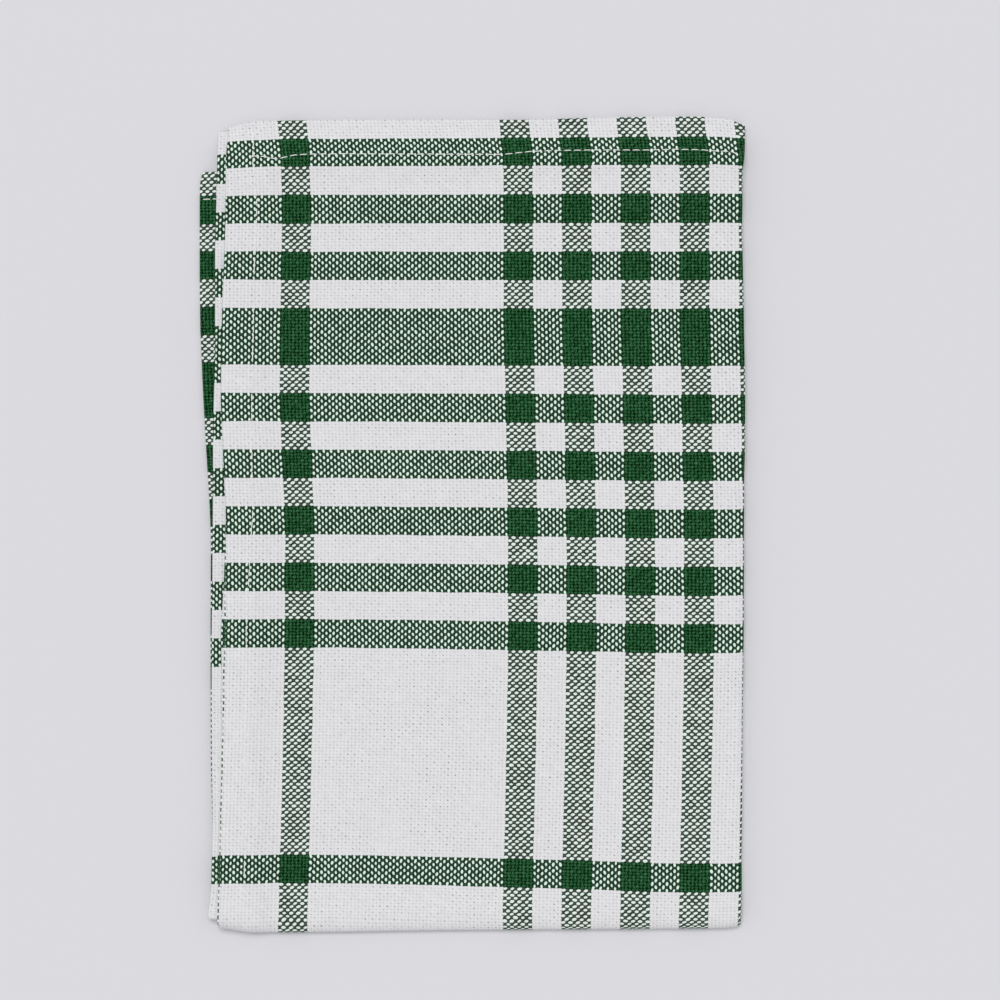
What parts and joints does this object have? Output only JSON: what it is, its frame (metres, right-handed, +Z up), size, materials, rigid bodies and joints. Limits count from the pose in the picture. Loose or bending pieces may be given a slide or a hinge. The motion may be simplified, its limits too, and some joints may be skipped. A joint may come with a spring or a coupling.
{
  "type": "cloth napkin",
  "caption": "Woven check cotton napkin with turned, stitched hems, folded in quarters and lying flat with its lower layers showing past one side.",
  "frame": {"origin": "on the ground, under the middle of the folded stack", "axes": "+Z up, +Y along the stack's longer side towards its end hems, +X towards the fold that joins the upper two layers"},
  "size_m": [0.2382, 0.356, 0.0105],
  "materials": {
    "checked_cotton": "matt plain weave in green and white checks"
  },
  "bodies": {
    "root": {"napkin_cloth": "checked_cotton"}
  },
  "joints": []
}
